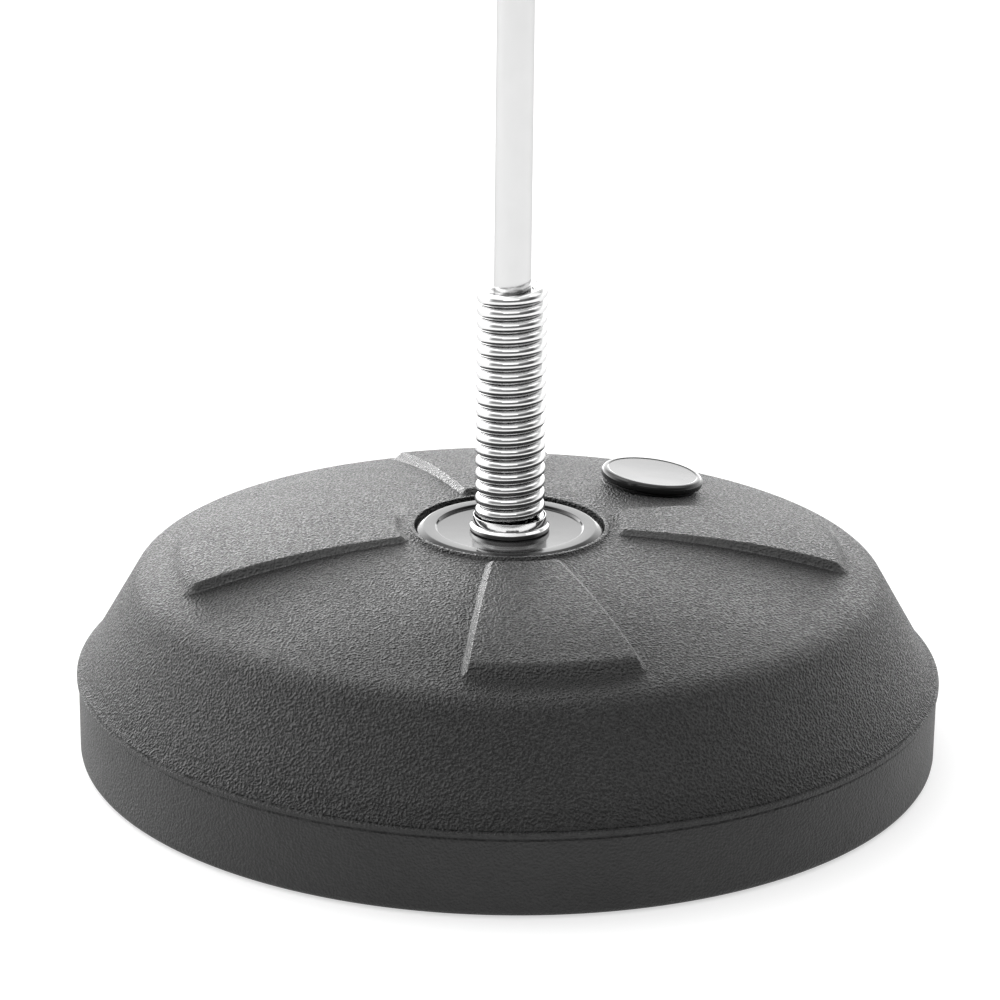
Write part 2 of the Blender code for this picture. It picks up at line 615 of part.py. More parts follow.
def make_upper_tube(slider):
    body = tube(UPPER_TUBE_R, UPPER_TUBE_R - TUBE_WALL, *UPPER_TUBE_Z, segments=24)
    add_piece("upper_mast", body, LOOKS["chrome"], slider)
    inside = UPPER_TUBE_R - TUBE_WALL - GAP
    low = UPPER_TUBE_Z[0]
    outline = [(0, low - 5 * MM), (UPPER_TUBE_R - 0.8 * MM, low - 5 * MM), (UPPER_TUBE_R, low - 4 * MM)]
    outline += [(UPPER_TUBE_R, low - GAP), (inside, low - GAP), (inside, low + 14 * MM), (0, low + 14 * MM)]
    add_piece("mast_end_plug", turned(outline, 24), LOOKS["matte_plastic"], slider)


def make_ball_seat(slider):
    """The plug in the tube's top, the threaded stud in it, and the washer and nut that lock a ball on it."""
    inside = UPPER_TUBE_R - TUBE_WALL - GAP
    bore = STUD_R + GAP
    under = UPPER_TUBE_Z[1] - 24 * MM
    disc_r = 17.0 * MM
    outline = [(bore, under), (inside, under), (inside, SEAT_DISC_Z), (disc_r - 5 * MM, SEAT_DISC_Z)]
    outline += [(disc_r, SEAT_DISC_TOP_Z - 3.0 * MM), (disc_r, SEAT_DISC_TOP_Z - 0.6 * MM)]
    outline += [(disc_r - 0.6 * MM, SEAT_DISC_TOP_Z), (bore, SEAT_DISC_TOP_Z)]
    add_piece("ball_seat", turned(outline, 24), LOOKS["matte_plastic"], slider)
    stud = rod(STUD_R, under + 2 * MM, STUD_TOP_Z, chamfer=1.0 * MM, segments=24)
    add_piece("ball_stud", stud, LOOKS["zinc"], slider)
    washer_z = (SEAT_DISC_TOP_Z + GAP, SEAT_DISC_TOP_Z + GAP + 1.6 * MM)
    add_piece("ball_washer", tube(10.5 * MM, bore, *washer_z), LOOKS["zinc"], slider)
    nut_z = (washer_z[1] + GAP, washer_z[1] + GAP + 6.0 * MM)
    add_piece("ball_lock_nut", hexagon_nut(16.0 * MM, bore, *nut_z), LOOKS["zinc"], slider)


def main():
    clear_scene()
    make_looks()
    filler = add_frame("filler_axis", filler_frame_matrix())
    make_tank(filler.matrix_world.copy())
    make_pads()
    make_centre_cap()
    make_anchor()
    make_filler(filler)
    make_lower_plug()
    spring_body = add_frame("bend_x_axis", Matrix.Translation((0, 0, BEND_X_Z)))
    make_spring(spring_body)
    mast = add_frame("bend_y_axis", Matrix.Translation((0, 0, BEND_Y_Z)), spring_body)
    make_upper_plug(mast)
    make_lower_tube(mast)
    make_collar(mast)
    clamp = add_frame("clamp_axis", sideways(LUG_END_X, CLAMP_Z), mast)
    make_clamp(clamp)
    slider = add_frame("slide_axis", Matrix.Translation((0, 0, UPPER_TUBE_Z[0])), mast)
    make_upper_tube(slider)
    make_ball_seat(slider)


LOOKS = {}


def make_looks():
    LOOKS["cutter"] = material("cutter", 0.5, 0.5, 0.0)
    LOOKS["tank_plastic"] = material("tank_plastic", 0.055, 0.5, 0.0)
    LOOKS["gloss_plastic"] = material("gloss_plastic", 0.012, 0.16, 0.0)
    LOOKS["matte_plastic"] = material("matte_plastic", 0.03, 0.45, 0.0)
    LOOKS["rubber"] = material("rubber", 0.02, 0.8, 0.0)
    LOOKS["chrome"] = material("chrome", 0.78, 0.12, 1.0)
    LOOKS["zinc"] = material("zinc", 0.62, 0.3, 1.0)
    LOOKS["steel"] = material("steel", 0.5, 0.35, 1.0)
    LOOKS["brass"] = material("brass", 0.45, 0.3, 1.0)


main()
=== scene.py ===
"""Looks for the speed ball stand: fine surfaces, materials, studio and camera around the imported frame."""

import json
import math

import bmesh
import bpy
from mathutils import Matrix, Vector


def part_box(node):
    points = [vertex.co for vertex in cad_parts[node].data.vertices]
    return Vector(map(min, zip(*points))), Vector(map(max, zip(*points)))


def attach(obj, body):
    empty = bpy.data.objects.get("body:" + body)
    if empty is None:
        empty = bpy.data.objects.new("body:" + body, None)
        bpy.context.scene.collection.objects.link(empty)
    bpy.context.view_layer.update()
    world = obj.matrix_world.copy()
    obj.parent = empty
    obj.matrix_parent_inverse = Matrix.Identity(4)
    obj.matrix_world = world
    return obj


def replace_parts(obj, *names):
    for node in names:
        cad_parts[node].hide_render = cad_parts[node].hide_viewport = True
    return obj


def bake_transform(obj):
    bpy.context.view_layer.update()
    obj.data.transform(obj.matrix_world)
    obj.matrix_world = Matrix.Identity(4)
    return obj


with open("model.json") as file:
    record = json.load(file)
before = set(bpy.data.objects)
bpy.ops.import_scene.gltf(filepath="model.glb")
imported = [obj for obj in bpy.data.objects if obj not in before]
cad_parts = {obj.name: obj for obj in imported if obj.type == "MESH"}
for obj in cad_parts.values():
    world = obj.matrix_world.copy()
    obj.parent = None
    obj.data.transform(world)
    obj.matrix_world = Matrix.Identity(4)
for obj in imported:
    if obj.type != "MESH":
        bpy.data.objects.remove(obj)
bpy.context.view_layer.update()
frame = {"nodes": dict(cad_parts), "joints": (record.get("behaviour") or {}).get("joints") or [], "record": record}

MM = 0.001


# ---------------------------------------------------------------- sizes

# Read from the frame.
TANK_BOTTOM_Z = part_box("base_tank")[0].z
LOWER_LOW, LOWER_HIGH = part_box("lower_mast")
UPPER_LOW, UPPER_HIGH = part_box("upper_mast")
COLLAR_LOW, COLLAR_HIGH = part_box("height_collar")
BALL_SEAT_LOW, BALL_SEAT_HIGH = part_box("ball_seat")
JOINTS = {joint["name"]: joint for joint in frame["joints"]}

# Base tank.
BEAD_R = 225.0 * MM
BEAD_Z = 42.5 * MM
SKIRT_R = 224.0 * MM
FLARE_CORNER = (221.0 * MM, 45.4 * MM)
SLOPE_FOOT = (217.3 * MM, 53.1 * MM)
SLOPE_HEAD = (194.95 * MM, 91.45 * MM)
SHOULDER_CORNER = (192.05 * MM, 96.55 * MM)
DOME_TOP_Z = 117.4 * MM
DOME_FLAT_R = 40.0 * MM
DOME_BEND_R = 553.7 * MM
DOME_EDGE_R = 181.8 * MM
CAP_SEAT_Z = 109.8 * MM
CAP_SEAT_R = 49.4 * MM
CAP_SEAT_LIP = 1.0 * MM
ROOF_Z = 104.8 * MM
ANCHOR_HOLE_R = 5.6 * MM
POCKET_R = 25.0 * MM
RIB_AZIMUTH = math.radians(7.4)
RIB_HALF_WIDTH = 4.8 * MM
RIB_WIDENING = 0.229
RIB_WALL = 4.4 * MM
RIB_ROUNDING = 0.15
RIB_INNER_R = 56.0 * MM
RIB_OUTER_R = 178.0 * MM
RIB_END_RUN = 11.0 * MM
RIB_INNER_LIFT = 2.3 * MM
RIB_OUTER_LIFT = 4.2 * MM
RIB_GROWTH_SHARE = 0.8
RIB_INNER_SOFTNESS = 0.35
RIB_OUTER_SOFTNESS = 0.48
TOP_COLUMNS, WALL_COLUMNS, BETWEEN_COLUMNS = 16, 8, 56
PAD_COUNT = 6
PAD_R = 11.0 * MM
PAD_HEIGHT = 3.2 * MM

# Centre cap.
CAP_R = 48.6 * MM
CAP_BORE_R = 5.35 * MM
CAP_RIM_Z = 117.7 * MM
CAP_FLOOR_Z = 116.2 * MM

# Filler, measured along its own axis from the turn joint's point.
NECK_R = 19.5 * MM
BOSS_R = 26.8 * MM
BOSS_TOP = -1.2 * MM
RECESS_R = 29.5 * MM
LID_R = 27.7 * MM
LID_TOP = 6.1 * MM
PLUG_R = 18.0 * MM
PLUG_IN_R = 16.0 * MM
PLUG_END = -14.0 * MM
PLUG_THREAD_PITCH = 5.0 * MM

# Mast.
LOWER_TUBE_R = 9.5 * MM
UPPER_TUBE_R = 7.9 * MM
TUBE_WALL = 1.2 * MM
COLLAR_R = 15.0 * MM
COLLAR_LOWER_BORE_R = 9.8 * MM
COLLAR_UPPER_BORE_R = 8.2 * MM
KNOB_NEAR, KNOB_FAR = 30.0 * MM, 47.0 * MM
KNOB_R = 19.0 * MM
KNOB_HUB_R = 8.5 * MM
KNOB_BORE_R = 4.3 * MM
KNOB_LOBES = 5
KNOB_LOBE_DEPTH = 5.0 * MM
STUD_R = 4.9 * MM
STUD_PITCH = 1.5 * MM
WASHER_R = 10.4 * MM
BALL_SEAT_R = 17.0 * MM
BALL_SEAT_SPIGOT_R = 6.4 * MM
NUT_ACROSS_FLATS = 16.0 * MM
SCREW_R = 4.0 * MM
SCREW_PITCH = 1.25 * MM

# Spring.
WIRE_R = 3.25 * MM
COIL_R = 14.9 * MM
COIL_PITCH = 6.7 * MM
COIL_FRONT_Z = 121.3 * MM
FIRST_TURN = 0.18
LAST_TURN = 18.34
FREE_COILS_Z = (132.0 * MM, 222.0 * MM)

# Camera and studio.
LENS_MM = 122.908
SENSOR_MM = 36.0
CAMERA_AT = (-5.1 * MM, -1674.7 * MM, 693.2 * MM)
CAMERA_DOWN = math.radians(18.536)
CAMERA_ROLL = 0.0113
FLOOR_R = 9.0
LAMPS_AIM = (0, 0, 0.1)


# ---------------------------------------------------------------- materials


def node(tree, kind, **values):
    made = tree.nodes.new(kind)
    for name, value in values.items():
        setattr(made, name, value)
    return made


def link(tree, source, target):
    tree.links.new(source, target)


def maths(tree, operation, a, b=None):
    made = node(tree, "ShaderNodeMath", operation=operation)
    for socket, value in zip(made.inputs, (a, b)):
        if value is None:
            continue
        if isinstance(value, (int, float)):
            socket.default_value = value
        else:
            link(tree, value, socket)
    return made.outputs[0]


def weighted(tree, first, first_weight, second, second_weight):
    """The sum of two values, each times its own weight."""
    parts = [maths(tree, "MULTIPLY", first, first_weight), maths(tree, "MULTIPLY", second, second_weight)]
    return maths(tree, "ADD", *parts)


def ranged(tree, value, from_low, from_high, to_low, to_high, smooth=False):
    made = node(tree, "ShaderNodeMapRange")
    if smooth:
        made.interpolation_type = "SMOOTHSTEP"
    link(tree, value, made.inputs["Value"])
    made.inputs["From Min"].default_value = from_low
    made.inputs["From Max"].default_value = from_high
    made.inputs["To Min"].default_value = to_low
    made.inputs["To Max"].default_value = to_high
    return made.outputs["Result"]


def place_of(tree, stretch=(1, 1, 1)):
    """The point's place in the piece's own frame, stretched."""
    coordinate = node(tree, "ShaderNodeTexCoord")
    mapping = node(tree, "ShaderNodeMapping")
    mapping.inputs["Scale"].default_value = stretch
    link(tree, coordinate.outputs["Object"], mapping.inputs["Vector"])
    return mapping.outputs["Vector"]


def noise(tree, vector, per_metre, detail=3.0, rough=0.5):
    made = node(tree, "ShaderNodeTexNoise")
    made.inputs["Scale"].default_value = per_metre
    made.inputs["Detail"].default_value = detail
    made.inputs["Roughness"].default_value = rough
    link(tree, vector, made.inputs["Vector"])
    return made.outputs["Fac"]


def cells(tree, vector, per_metre):
    made = node(tree, "ShaderNodeTexVoronoi", feature="SMOOTH_F1")
    made.inputs["Scale"].default_value = per_metre
    made.inputs["Smoothness"].default_value = 0.6
    link(tree, vector, made.inputs["Vector"])
    return made.outputs["Distance"]


def bump(tree, height, distance, strength, under=None):
    made = node(tree, "ShaderNodeBump")
    made.inputs["Distance"].default_value = distance
    if isinstance(strength, (int, float)):
        made.inputs["Strength"].default_value = strength
    else:
        link(tree, strength, made.inputs["Strength"])
    link(tree, height, made.inputs["Height"])
    if under is not None:
        link(tree, under, made.inputs["Normal"])
    return made.outputs["Normal"]


def tinted(tree, fac, dark, light):
    made = node(tree, "ShaderNodeMix", data_type="RGBA")
    link(tree, fac, made.inputs["Factor"])
    made.inputs["A"].default_value = (*dark, 1)
    made.inputs["B"].default_value = (*light, 1)
    return made.outputs["Result"]


def grey(value):
    return (value, value, value)


def start_material(name):
    made = bpy.data.materials.new(name)
    made.use_nodes = True
    tree = made.node_tree
    shader = tree.nodes["Principled BSDF"]
    return made, tree, shader


def across_lean(tree, here):
    """0 where a surface is turned about the mast's axis, and up to 1 on the side walls of the ribs."""
    across = node(tree, "ShaderNodeVectorMath", operation="CROSS_PRODUCT")
    across.inputs[0].default_value = (0, 0, 1)
    link(tree, here, across.inputs[1])
    unit = node(tree, "ShaderNodeVectorMath", operation="NORMALIZE")
    link(tree, across.outputs["Vector"], unit.inputs[0])
    lean = node(tree, "ShaderNodeVectorMath", operation="DOT_PRODUCT")
    link(tree, node(tree, "ShaderNodeTexCoord").outputs["Normal"], lean.inputs[0])
    link(tree, unit.outputs["Vector"], lean.inputs[1])
    return ranged(tree, maths(tree, "ABSOLUTE", lean.outputs["Value"]), 0.14, 0.5, 0.0, 1.0, smooth=True)


def tank_material():
    """Blow-moulded plastic with leather grain, smoother below the bead and on the ribs' side walls; its colour is
    darkened below the bead as painted shade.
    """
    made, tree, shader = start_material("tank_plastic")
    shader.inputs["Specular IOR Level"].default_value = 0.45
    here = place_of(tree)
    split = node(tree, "ShaderNodeSeparateXYZ")
    link(tree, here, split.inputs[0])
    above_bead = ranged(tree, split.outputs["Z"], BEAD_Z, BEAD_Z + 3.0 * MM, 0.0, 1.0, smooth=True)
    pebbles = cells(tree, here, 760.0)
    wrinkles = noise(tree, here, 800.0, detail=2.0, rough=0.6)
    grain = weighted(tree, pebbles, 0.9, wrinkles, 1.3)
    patches = noise(tree, here, 14.0, detail=4.0)
    fine_dirt = noise(tree, here, 160.0, detail=5.0, rough=0.65)
    mottled = weighted(tree, patches, 0.6, fine_dirt, 0.4)
    peaks = ranged(tree, grain, 0.75, 1.35, -0.6, 0.6)
    shade = maths(tree, "ADD", mottled, maths(tree, "MULTIPLY", peaks, above_bead))
    # Painted shade: the skirt below the bead is coloured darker, which through the shade value also makes it
    # rougher.
    shade = maths(tree, "ADD", shade, ranged(tree, above_bead, 0.0, 1.0, -0.35, 0.0))
    wall = across_lean(tree, here)
    link(tree, tinted(tree, shade, grey(0.010), grey(0.030)), shader.inputs["Base Color"])
    rough = ranged(tree, shade, 0.0, 1.0, 0.56, 0.32)
    link(tree, weighted(tree, rough, 1.0, wall, -0.14), shader.inputs["Roughness"])
    depth = ranged(tree, above_bead, 0.0, 1.0, 0.3, 1.0)
    depth = maths(tree, "MULTIPLY", depth, ranged(tree, wall, 0.0, 1.0, 1.0, 0.25))
    sink = noise(tree, here, 34.0, detail=2.0)
    wavy = bump(tree, sink, 0.6 * MM, 0.25)
    link(tree, bump(tree, grain, 6.0 * MM, depth, wavy), shader.inputs["Normal"])
    return made


def gloss_material():
    """Polished black moulding with hairline scratches and a slight waviness."""
    made, tree, shader = start_material("gloss_plastic")
    here = place_of(tree)
    haze = noise(tree, here, 45.0, detail=4.0)
    link(tree, tinted(tree, haze, grey(0.010), grey(0.016)), shader.inputs["Base Color"])
    link(tree, ranged(tree, haze, 0.3, 0.7, 0.07, 0.13), shader.inputs["Roughness"])
    shader.inputs["IOR"].default_value = 1.4
    scratches = noise(tree, place_of(tree, (1.0, 0.12, 1.0)), 1800.0, detail=2.0)
    wavy = bump(tree, noise(tree, here, 60.0, detail=1.0), 0.4 * MM, 0.12)
    link(tree, bump(tree, scratches, 0.05 * MM, 0.10, wavy), shader.inputs["Normal"])
    return made


def plastic_material(name, dark, light, rough_low, rough_high, depth):
    """Matt moulded plastic or rubber with a spark-eroded surface."""
    made, tree, shader = start_material(name)
    here = place_of(tree)
    shade = noise(tree, here, 90.0, detail=5.0, rough=0.6)
    link(tree, tinted(tree, shade, grey(dark), grey(light)), shader.inputs["Base Color"])
    link(tree, ranged(tree, shade, 0.3, 0.7, rough_low, rough_high), shader.inputs["Roughness"])
    grain = noise(tree, here, 1500.0, detail=2.0)
    link(tree, bump(tree, grain, 0.2 * MM, depth), shader.inputs["Normal"])
    return made


def metal_material(name, dark, light, rough_low, rough_high, stretch, depth, scale=900.0):
    """Plated or turned metal; the stretch draws its fine marks out along one direction."""
    made, tree, shader = start_material(name)
    shader.inputs["Metallic"].default_value = 1.0
    shader.inputs["Specular Tint"].default_value = (0.7, 0.7, 0.7, 1)
    here = place_of(tree)
    shade = noise(tree, here, 70.0, detail=4.0, rough=0.6)
    link(tree, tinted(tree, shade, dark, light), shader.inputs["Base Color"])
    marks = noise(tree, place_of(tree, stretch), scale, detail=3.0, rough=0.6)
    wear = weighted(tree, marks, 0.6, shade, 0.4)
    link(tree, ranged(tree, wear, 0.3, 0.7, rough_low, rough_high), shader.inputs["Roughness"])
    link(tree, bump(tree, marks, 0.03 * MM, depth), shader.inputs["Normal"])
    return made


MATERIALS = {
    "tank_plastic": tank_material(),
    "gloss_plastic": gloss_material(),
    "black_plastic": plastic_material("black_plastic", 0.020, 0.034, 0.38, 0.50, 0.35),
    "rubber": plastic_material("rubber", 0.014, 0.026, 0.62, 0.82, 0.5),
    "spring_chrome": metal_material("spring_chrome", grey(0.66), grey(0.80), 0.04, 0.10, (1, 1, 2.5), 0.15),
    "mast_chrome": metal_material("mast_chrome", grey(0.57), grey(0.65), 0.12, 0.20, (1, 1, 0.02), 0.25),
    "zinc": metal_material("zinc", grey(0.55), grey(0.68), 0.24, 0.40, (1, 1, 1), 0.3),
    "steel": metal_material("steel", grey(0.42), grey(0.55), 0.26, 0.42, (1, 1, 6), 0.3),
    "brass": metal_material("brass", (0.52, 0.37, 0.15), (0.66, 0.49, 0.22), 0.22, 0.36, (1, 1, 6), 0.3),
}


# ---------------------------------------------------------------- mesh tools


def add_piece(name, mesh, slot, body=None, sharp=40):
    """An object from a bmesh drawn in the row frame, with its material, riding on a body."""
    bmesh.ops.recalc_face_normals(mesh, faces=mesh.faces)
    data = bpy.data.meshes.new(name)
    mesh.to_mesh(data)
    mesh.free()
    data.materials.append(MATERIALS[slot])
    data.shade_smooth()
    data.set_sharp_from_angle(angle=math.radians(sharp))
    piece = bpy.data.objects.new(name, data)
    bpy.context.scene.collection.objects.link(piece)
    if body is not None:
        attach(piece, body)
    return piece


def loft(rings, closed=False):
    """Joins rings of points into one surface. A ring of one point is a pole. Closed joins last to first."""
    mesh = bmesh.new()
    made = [[mesh.verts.new(point) for point in ring] for ring in rings]
    pairs = list(zip(made, made[1:]))
    if closed:
        pairs.append((made[-1], made[0]))
    for low, high in pairs:
        for i in range(max(len(low), len(high))):
            below = [low[i % len(low)], low[(i + 1) % len(low)]]
            above = [high[(i + 1) % len(high)], high[i % len(high)]]
            mesh.faces.new(list(dict.fromkeys(below + above)))
    return mesh


def round_ring(radius, height, sides):
    turns = [math.tau * i / sides for i in range(sides)]
    return [Vector((radius * math.cos(a), radius * math.sin(a), height)) for a in turns]


def rounded(outline, closed, steps=4):
    """An outline of (radius, height, fillet) corners as points, each fillet an arc of a few steps."""
    corners = [(Vector(c[:2]), c[2] if len(c) > 2 else 0.0) for c in outline]
    count = len(corners)
    points = []
    for i, (corner, fillet) in enumerate(corners):
        at_end = not closed and i in (0, count - 1)
        if fillet == 0 or at_end:
            points.append(tuple(corner))
            continue
        back = (corners[i - 1][0] - corner).normalized()
        ahead = (corners[(i + 1) % count][0] - corner).normalized()
        half = math.acos(max(-1.0, min(1.0, back.dot(ahead)))) / 2
        reach = fillet / math.tan(half)
        centre = corner + (back + ahead).normalized() * (fillet / math.sin(half))
        start = corner + back * reach - centre
        end = corner + ahead * reach - centre
        sweep = math.pi - 2 * half
        for k in range(steps + 1):
            t = k / steps
            a, b = math.sin((1 - t) * sweep), math.sin(t * sweep)
            points.append(tuple(centre + (start * a + end * b) / math.sin(sweep)))
    return points


def turned(outline, sides=96, frame_matrix=None, steps=4):
    """Turns an outline of (radius, height, fillet) about +Z. One that starts on the axis also ends on it."""
    closed = outline[0][0] > 0
    rings = []
    for radius, height in rounded(outline, closed, steps):
        rings.append(round_ring(radius, height, sides) if radius > 1e-9 else [Vector((0, 0, height))])
    mesh = loft(rings, closed)
    if frame_matrix is not None:
        mesh.transform(frame_matrix)
    return mesh


def soft_ramp(value, soft):
    """0 to 1 with a straight middle and round ends."""
    value = min(max(value, 0.0), 1.0)
    slope = 1 / (1 - soft)
    if value < soft:
        return slope * value * value / (2 * soft)
    if value > 1 - soft:
        return 1 - slope * (1 - value) ** 2 / (2 * soft)
    return slope * (value - soft / 2)


def smooth_step(value):
    value = min(max(value, 0.0), 1.0)
    return value * value * (3 - 2 * value)


def axis_frame(point, axis):
    """A frame at point whose +Z is the axis."""
    turn = Vector((0, 0, 1)).rotation_difference(Vector(axis)).to_matrix().to_4x4()
    return Matrix.Translation(Vector(point)) @ turn


# ---------------------------------------------------------------- base tank


def dome_z(radius):
    fall = max(radius - DOME_FLAT_R, 0.0)
    return DOME_TOP_Z - fall * fall / (2 * DOME_BEND_R)


def rib_lift(radius):
    """How far a rib stands above the dome: it grows outwards and runs out softly at both ends."""
    growth_run = RIB_GROWTH_SHARE * (RIB_OUTER_R - RIB_INNER_R)
    grown = smooth_step((radius - RIB_INNER_R) / growth_run)
    full = RIB_INNER_LIFT + (RIB_OUTER_LIFT - RIB_INNER_LIFT) * grown
    inner_end = soft_ramp((radius - RIB_INNER_R) / RIB_WALL, RIB_INNER_SOFTNESS)
    outer_end = soft_ramp((RIB_OUTER_R - radius) / RIB_END_RUN, RIB_OUTER_SOFTNESS)
    return full * inner_end * outer_end


def tank_columns():
    """Columns of the tank's grid, a quarter turn's worth: (zone, share across it)."""
    columns = [("top", -1 + 2 * i / TOP_COLUMNS) for i in range(TOP_COLUMNS + 1)]
    columns += [("wall", i / WALL_COLUMNS) for i in range(1, WALL_COLUMNS + 1)]
    columns += [("between", i / BETWEEN_COLUMNS) for i in range(1, BETWEEN_COLUMNS)]
    columns += [("far_wall", i / WALL_COLUMNS) for i in range(WALL_COLUMNS)]
    return columns


def tank_ring(radius, height, ribbed):
    """A ring of the tank's grid, whose columns follow the four ribs' edges."""
    along = min(max(radius, RIB_INNER_R), RIB_OUTER_R)
    half = RIB_HALF_WIDTH + RIB_WIDENING * along
    top = math.atan2(half - RIB_WALL / 2, along)
    foot = math.atan2(half + RIB_WALL / 2, along)
    lift = rib_lift(radius) if ribbed else 0.0
    quarter = math.tau / 4
    points = []
    for rib in range(4):
        centre = RIB_AZIMUTH + quarter * rib
        for zone, share in TANK_COLUMNS:
            if zone == "top":
                offset, raised = top * share, 1.0
            elif zone == "wall":
                offset, raised = top + (foot - top) * share, 1 - soft_ramp(share, RIB_ROUNDING)
            elif zone == "between":
                offset, raised = foot + (quarter - 2 * foot) * share, 0.0
            else:
                offset, raised = quarter - foot + (foot - top) * share, soft_ramp(share, RIB_ROUNDING)
            a = centre + offset
            points.append(Vector((radius * math.cos(a), radius * math.sin(a), height + lift * raised)))
    return points


def curve_points(start, control, end, steps):
    """Points of a quadratic curve, without its first point."""
    points = []
    for i in range(1, steps + 1):
        t = i / steps
        weights = ((1 - t) ** 2, 2 * t * (1 - t), t * t)
        weighed = [(w * x, w * z) for w, (x, z) in zip(weights, (start, control, end))]
        points.append(tuple(sum(values) for values in zip(*weighed)))
    return points


def spaced(start, end, steps):
    """Points of a straight line, without its first point."""
    return [tuple(a + (b - a) * i / steps for a, b in zip(start, end)) for i in range(1, steps + 1)]


TANK_COLUMNS = tank_columns()


def seat_points():
    """From the anchor bolt's hole, over the centre cap's seat, to the dome just inside the ribs."""
    lip_z = DOME_TOP_Z + CAP_SEAT_LIP
    outline = [(ANCHOR_HOLE_R, ROOF_Z), (ANCHOR_HOLE_R, CAP_SEAT_Z), (CAP_SEAT_R, CAP_SEAT_Z, 0.8 * MM)]
    outline += [(CAP_SEAT_R, lip_z, 0.45 * MM), (CAP_SEAT_R + 2.0 * MM, lip_z, 0.7 * MM)]
    outline += [(CAP_SEAT_R + 3.3 * MM, dome_z(CAP_SEAT_R + 3.0 * MM), 1.0 * MM)]
    outline += [(RIB_INNER_R - 0.6 * MM, dome_z(RIB_INNER_R))]
    return rounded(outline, False)


def ribbed_radii():
    """The radii of the rings along the ribs, closest where the ribs rise and fall."""
    rise_end = RIB_INNER_R + RIB_WALL
    fall_start = RIB_OUTER_R - RIB_END_RUN
    rise = [RIB_INNER_R + RIB_WALL * i / 6 for i in range(7)]
    middle = [rise_end + (fall_start - rise_end) * i / 44 for i in range(1, 45)]
    fall = [fall_start + RIB_END_RUN * i / 10 for i in range(1, 11)]
    return rise + middle + fall


def side_points():
    """From the ribs' outer ends down the shoulder and the flared slope, over the bead and down the skirt."""
    edge = (DOME_EDGE_R, dome_z(DOME_EDGE_R))
    flare_end = (SKIRT_R - 0.9 * MM, BEAD_Z + 2.1 * MM)
    skirt_top = (SKIRT_R, BEAD_Z - 6.0 * MM)
    points = spaced((RIB_OUTER_R, dome_z(RIB_OUTER_R)), edge, 3)
    points += curve_points(edge, SHOULDER_CORNER, SLOPE_HEAD, 14)
    points += spaced(SLOPE_HEAD, SLOPE_FOOT, 12)
    points += curve_points(SLOPE_FOOT, FLARE_CORNER, flare_end, 12)
    bead = [flare_end, (SKIRT_R - 0.8 * MM, BEAD_Z + 1.5 * MM, 0.25 * MM)]
    bead += [(BEAD_R, BEAD_Z + 1.3 * MM, 0.7 * MM), (BEAD_R, BEAD_Z - 1.1 * MM, 0.7 * MM)]
    bead += [(SKIRT_R - 0.5 * MM, BEAD_Z - 1.5 * MM, 0.3 * MM)]
    bead += [(SKIRT_R - 0.5 * MM, BEAD_Z - 2.3 * MM, 0.3 * MM), (SKIRT_R, BEAD_Z - 3.0 * MM, 0.4 * MM)]
    points += rounded(bead + [skirt_top], False)[1:]
    return points + spaced(skirt_top, (SKIRT_R, TANK_BOTTOM_Z + 6.0 * MM), 5)


def under_points():
    """From the skirt's foot across the bottom and up the anchor bolt's pocket."""
    outline = [(SKIRT_R, TANK_BOTTOM_Z + 6.0 * MM), (SKIRT_R, TANK_BOTTOM_Z, 3.5 * MM)]
    outline += [(POCKET_R + 11.0 * MM, TANK_BOTTOM_Z), (POCKET_R + 9.0 * MM, TANK_BOTTOM_Z, 1.5 * MM)]
    outline += [(POCKET_R + 0.4 * MM, ROOF_Z - 4.0 * MM), (POCKET_R, ROOF_Z)]
    return rounded(outline, False)[1:]


def tank_mesh():
    rings = [tank_ring(r, z, False) for r, z in seat_points()]
    rings += [tank_ring(r, dome_z(r), True) for r in ribbed_radii()]
    rings += [tank_ring(r, z, False) for r, z in side_points() + under_points()]
    return loft(rings, closed=True)


def cutter(name, mesh):
    """A tool for apply_tools."""
    piece = add_piece(name, mesh, "tank_plastic", "base")
    piece.hide_render = True
    piece.hide_viewport = True
    return piece


def apply_tools(piece, tools):
    """Joins or cuts each (operation, tool) in turn into the piece's mesh, and removes the tools."""
    for operation, tool in tools:
        tool.hide_viewport = False
        change = piece.modifiers.new(tool.name, "BOOLEAN")
        change.operation = operation
        change.object = tool
        change.solver = "EXACT"
    graph = bpy.context.evaluated_depsgraph_get()
    data = bpy.data.meshes.new_from_object(piece.evaluated_get(graph))
    piece.modifiers.clear()
    old = piece.data
    piece.data = data
    data.name = old.name
    bpy.data.meshes.remove(old)
    for _, tool in tools:
        bpy.data.objects.remove(tool, do_unlink=True)


FILLER = JOINTS["filler_cap_turn"]
FILLER_FRAME = axis_frame(FILLER["pos_m"], FILLER["axis"])


def pad_tools():
    """Makes the anti-slip pads, and gives back the cutters of their pockets."""
    tools = []
    gap = 0.5 * MM
    pocket_top = PAD_HEIGHT + 0.3 * MM
    for index in range(PAD_COUNT):
        low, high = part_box(f"foot_pad_{index + 1}")
        middle = (low + high) / 2
        place = Matrix.Translation((middle.x, middle.y, 0))
        pocket = [(0, -5 * MM), (PAD_R + gap, -5 * MM), (PAD_R + gap, pocket_top), (0, pocket_top)]
        tools.append(("DIFFERENCE", cutter(f"cut_pad_{index + 1}", turned(pocket, 64, place))))
        pad = [(0, 0), (PAD_R, 0, 0.7 * MM), (PAD_R, PAD_HEIGHT, 0.3 * MM), (0, PAD_HEIGHT)]
        made = add_piece(f"pad_{index + 1}", turned(pad, 64, place), "rubber", "base")
        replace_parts(made, f"foot_pad_{index + 1}")
    return tools


